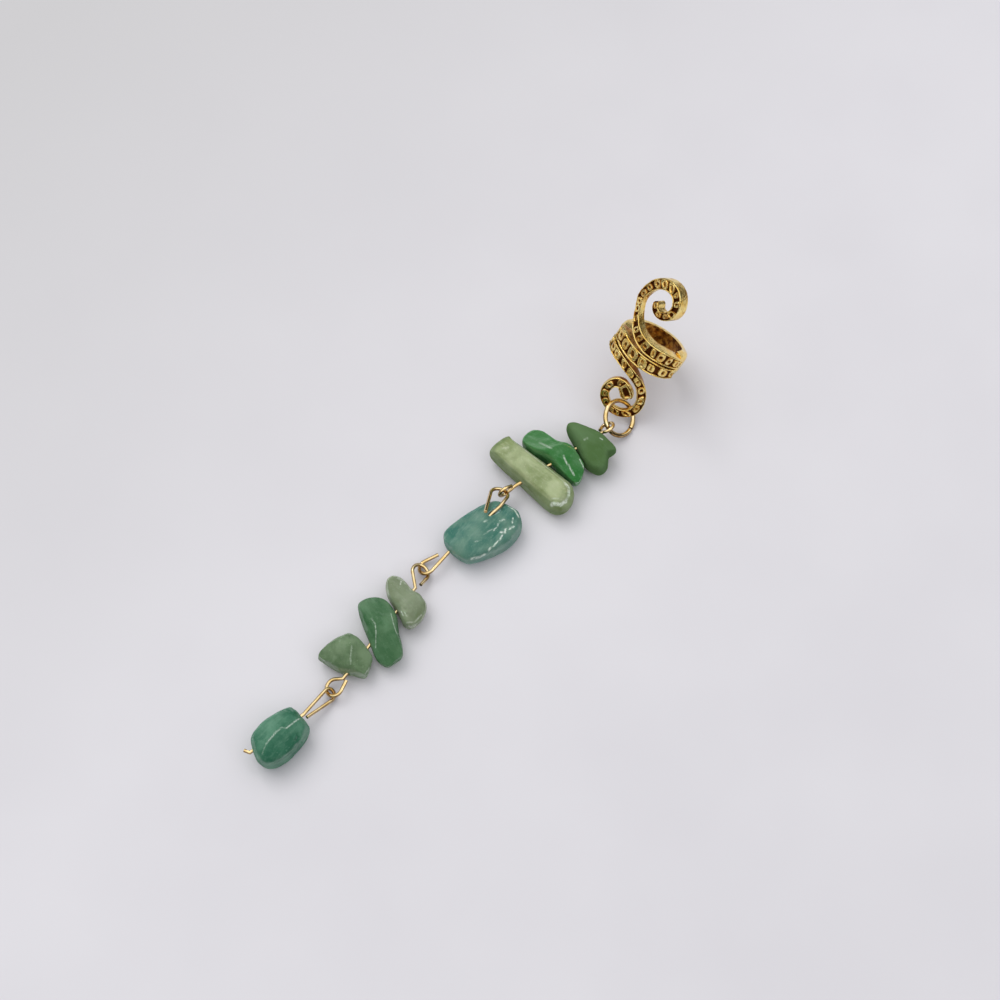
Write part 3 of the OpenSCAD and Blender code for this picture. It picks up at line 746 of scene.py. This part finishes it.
def stone_shape(name, at, thick, boxy, outline, grind, run, ripple, tones, glints):
    """A tumbled chip: its outline domed above and below, ground to soft facets, drilled."""
    pebble = bmesh.new()
    bmesh.ops.create_icosphere(pebble, subdivisions=6, radius=1.0)
    tone = pebble.verts.layers.float.new("paler")
    glint = pebble.verts.layers.float.new("painted_glint")
    flank = pebble.verts.layers.float.new("flank")
    rows = [Vector(p) for p in outline]
    count = len(rows)
    middle = Vector((*at, thick / 2))
    power = 2 / boxy
    for v in pebble.verts:
        t = (math.atan2(v.co.y, v.co.x) / (2 * math.pi) % 1) * count
        i = int(t) % count
        edge = curve(rows[i - 1], rows[i], rows[(i + 1) % count], rows[(i + 2) % count],
                     t - int(t))
        flat = math.hypot(v.co.x, v.co.y) ** power
        rise = math.copysign(abs(v.co.z) ** power, v.co.z)
        p = Vector((edge.x * flat, edge.y * flat, thick / 2 * rise + edge.z * flat * flat))
        for facing, tilt, reach in grind:
            facing, tilt = math.radians(facing), math.radians(tilt)
            n = Vector((math.cos(facing) * math.cos(tilt), math.sin(facing) * math.cos(tilt),
                        math.sin(tilt)))
            over = p.dot(n) - reach
            p -= n * (over + math.sqrt(over * over + facet_blend)) / 2 * facet_share
        out = p.normalized()
        p += out * lump * noise.noise((p + middle) * lump_pitch)
        for x, y, size, deep in ripple:
            near = 1 - ease(math.hypot(p.x - x, p.y - y) / size)
            if near > 0 and p.z > 0:
                p += out * deep * near * noise.noise(p * ripple_pitch + middle)
        v[tone] = sum(paler * (1 - ease(math.hypot(p.x - x, p.y - y) / size))
                      for x, y, size, paler in tones)
        # The flank mask holds painted shade round the outline, and below on faces that turn steep
        v[flank] = 0.8 * ease((flat - 0.83) / 0.09)
        if p.z > 0:
            # Painted highlight: bright strokes near each listed line on the upper side
            v[glint] = max(bright * (1 - ease(stroke_near(points, p.x, p.y) / size - 0.5))
                           for bright, size, points in glints)
        v.co = p + middle
        v.co.z = max(0.0, v.co.z)
    bmesh.ops.recalc_face_normals(pebble, faces=pebble.faces)
    pebble.normal_update()
    # Known fault: all the stones but the third face inwards here, and stay so when finished. On
    # those this mask for the flanks covers the upper face too, and dims its polish.
    for v in pebble.verts:
        v[flank] = max(v[flank], 1 - ease((v.normal.z - 0.02) / 0.46))
    start, end = Vector(run[0]), Vector(run[1])
    along = end - start
    drill = bmesh.new()
    bmesh.ops.create_cone(drill, cap_ends=True, segments=24, radius1=hole_d / 2,
                          radius2=hole_d / 2, depth=along.length + 4)
    bmesh.ops.transform(drill, verts=drill.verts,
                        matrix=Matrix.Translation((start + end) / 2)
                        @ along.to_track_quat("Z", "Y").to_matrix().to_4x4())
    bored = fused(object_from(pebble, name), [object_from(drill, name + "_drill")], "DIFFERENCE")
    return finish_piece(bored, Matrix.Translation(home), 35)


# Cloudy quartz, used by all the stones: two greens that drift into each other, soft streaks
# along the stone, small pale specks, painted shade where the flank mask is and painted highlights as
# bright strokes
quartz, nodes, links, given, result = shader_group(
    "cloudy_quartz", {"Vector": None, "Along": None, "Size": 0.35, "Paler": 0.0, "Crack": 0.0,
                      "Flank": 0.0, "Streaks": 0.3, "Deep": (0.1, 0.2, 0.1), "Pale": (0.2, 0.3, 0.2),
                      "Vein": (0.4, 0.5, 0.4)}, {"Color": "Color"})
clouds = cloud(nodes, links, given["Vector"], given["Size"], 5.0, 0.6, 0.3)
body = blend(nodes, links, remap(nodes, links, sums(
    nodes, links, "ADD", clouds, sums(nodes, links, "MULTIPLY", given["Paler"], 0.22)), 0.34, 0.66),
    given["Deep"], given["Pale"])
streak = sums(nodes, links, "MULTIPLY", given["Streaks"], remap(
    nodes, links, cloud(nodes, links, given["Along"], 1.1, 4.0, 0.6, 0.2), 0.52, 0.74))
speck = sums(nodes, links, "MULTIPLY", given["Streaks"], remap(
    nodes, links, cloud(nodes, links, given["Vector"], 3.4, 2.0, 0.5), 0.60, 0.72, 0.0, 0.6))
body = blend(nodes, links, streak, body, given["Vein"])
body = blend(nodes, links, speck, body, given["Vein"])
# Painted shade: the flank mask darkens the colour
shaded = nodes.new("ShaderNodeMix")
shaded.data_type = "RGBA"
shaded.blend_type = "MULTIPLY"
links.new(given["Flank"], shaded.inputs["Factor"])
links.new(body, shaded.inputs[6])
shaded.inputs[7].default_value = (0.26, 0.38, 0.31, 1.0)
# Painted highlights: bright strokes mixed into the colour
painted_glints = sums(nodes, links, "MULTIPLY", given["Crack"], remap(
    nodes, links, cloud(nodes, links, given["Vector"], 2.6, 2.0, 0.6), 0.36, 0.60, 0.25, 1.0))
links.new(blend(nodes, links, painted_glints, shaded.outputs[2], (0.90, 0.97, 0.88)), result["Color"])


def stone_look(name, deep, pale, vein, size, streaks, clear, gloss, polish, scatter, turn, edge):
    """One stone's quartz with its own greens, clearness and gloss."""
    look_of, nodes, links, shader, mm = node_material(name)
    carried_masks = {kind: carried(nodes, kind) for kind in ("paler", "painted_glint", "flank")}
    along = nodes.new("ShaderNodeMapping")
    along.vector_type = "TEXTURE"
    along.inputs["Rotation"].default_value = (0.0, 0.0, math.radians(turn))
    along.inputs["Scale"].default_value = (3.5, 1.0, 1.0)
    links.new(mm, along.inputs["Vector"])
    flank = sums(nodes, links, "MULTIPLY", carried_masks["flank"], edge)
    stone = placed(nodes, links, quartz, Vector=mm, Along=along.outputs["Vector"], Size=size,
                   Paler=carried_masks["paler"], Crack=carried_masks["painted_glint"], Flank=flank, Streaks=streaks,
                   Deep=deep, Pale=pale, Vein=vein)
    links.new(stone["Color"], shader.inputs["Base Color"])
    polished = placed(nodes, links, handled, Vector=mm, Size=1.1, Low=gloss, High=gloss + 0.12)
    links.new(polished["Roughness"], shader.inputs["Roughness"])
    shader.inputs["IOR"].default_value = 1.5
    shader.inputs["Specular IOR Level"].default_value = 0.0
    links.new(remap(nodes, links, carried_masks["flank"], 0.0, 0.5, polish, 0.0),
              shader.inputs["Coat Weight"])
    shader.inputs["Coat Roughness"].default_value = max(0.03, gloss - 0.08)
    shader.inputs["Transmission Weight"].default_value = clear
    shader.inputs["Subsurface Weight"].default_value = scatter
    shader.inputs["Subsurface Radius"].default_value = (0.7, 1.0, 0.7)
    shader.inputs["Subsurface Scale"].default_value = 0.9 * MM
    uneven_face = placed(nodes, links, dents, Vector=mm, Size=2.2, Strength=0.22, Depth=0.05 * MM)
    links.new(uneven_face["Normal"], shader.inputs["Normal"])
    return look_of


# Columns: middle, thickness, boxiness, outline, facets, pin, rippled places (x, y, size,
# depth), tones, strokes
STONES = [
    ((21.2, -3.1), 5.0, 2.5, CHIP_1, GRIND_1, 0, [], TONE_1, GLINT_1),
    ((16.8, -0.5), 5.2, 2.9, CHIP_2, GRIND_2, 0, [(0.4, -3.8, 1.8, 0.15)], TONE_2, GLINT_2),
    ((12.0, -0.2), 5.0, 3.2, CHIP_3, GRIND_3, 0, [(0.5, -6.0, 2.0, 0.2)], TONE_3, GLINT_3),
    ((0.2, -1.0), 4.8, 2.7, CHIP_4, GRIND_4, 1, [(2.4, -2.4, 2.6, 0.35)], TONE_4, GLINT_4),
    ((-15.9, 0.2), 4.0, 2.6, CHIP_5, GRIND_5, 2, [(-1.0, -1.8, 2.0, 0.25)], TONE_5, GLINT_5),
    ((-21.1, -0.5), 4.4, 2.8, CHIP_6, GRIND_6, 2, [(0.5, 0.5, 2.4, 0.15)], TONE_6, GLINT_6),
    ((-27.3, -0.1), 4.0, 2.6, CHIP_7, GRIND_7, 2, [], TONE_7, GLINT_7),
    ((-42.9, -1.3), 5.6, 2.7, CHIP_8, GRIND_8, 3, [(1.5, -2.4, 1.4, 0.3)], TONE_8, GLINT_8)]
# Columns: deep green, pale green, vein, size of the clouds, streaks, clearness, gloss,
# polish, scatter, heading of the streaks in degrees, how strongly the flank mask paints shade
LOOKS = [
    ((0.190, 0.295, 0.115), (0.245, 0.350, 0.170), (0.31, 0.43, 0.24),
     0.35, 0.4, 0.0, 0.50, 0.12, 0.25, 90, 0.8),
    ((0.085, 0.370, 0.090), (0.195, 0.460, 0.180), (0.44, 0.72, 0.44),
     0.30, 0.5, 0.20, 0.12, 0.9, 0.4, 95, 0.8),
    ((0.240, 0.310, 0.122), (0.450, 0.520, 0.290), (0.64, 0.70, 0.46),
     0.28, 0.4, 0.20, 0.14, 0.4, 0.5, 95, 0.6),
    ((0.205, 0.465, 0.440), (0.570, 0.725, 0.680), (0.78, 0.90, 0.88),
     0.35, 0.7, 0.10, 0.09, 0.9, 0.35, 5, 1.0),
    ((0.300, 0.350, 0.200), (0.480, 0.520, 0.360), (0.62, 0.68, 0.52),
     0.40, 0.5, 0.20, 0.13, 0.8, 0.5, 80, 0.6),
    ((0.165, 0.332, 0.162), (0.375, 0.525, 0.325), (0.54, 0.70, 0.50),
     0.32, 0.5, 0.10, 0.12, 0.8, 0.35, 70, 1.0),
    ((0.200, 0.290, 0.148), (0.430, 0.520, 0.325), (0.56, 0.64, 0.45),
     0.35, 0.4, 0.15, 0.16, 0.6, 0.45, 40, 0.8),
    ((0.115, 0.350, 0.250), (0.430, 0.710, 0.570), (0.60, 0.82, 0.70),
     0.30, 0.5, 0.10, 0.13, 0.6, 0.35, 0, 1.7)]

for k, (row, look_row) in enumerate(zip(STONES, LOOKS)):
    at, thick, boxy, outline, grind, pin_at, ripple, tones, glints = row
    name = f"chip_{k + 1}"
    chip = stone_shape(name + "_stone", at, thick, boxy, outline, grind, PIN_RUN[pin_at], ripple,
                       tones, glints)
    chip.data.materials.append(stone_look(name + "_quartz", *look_row))
    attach(chip, "root")
    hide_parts(name)
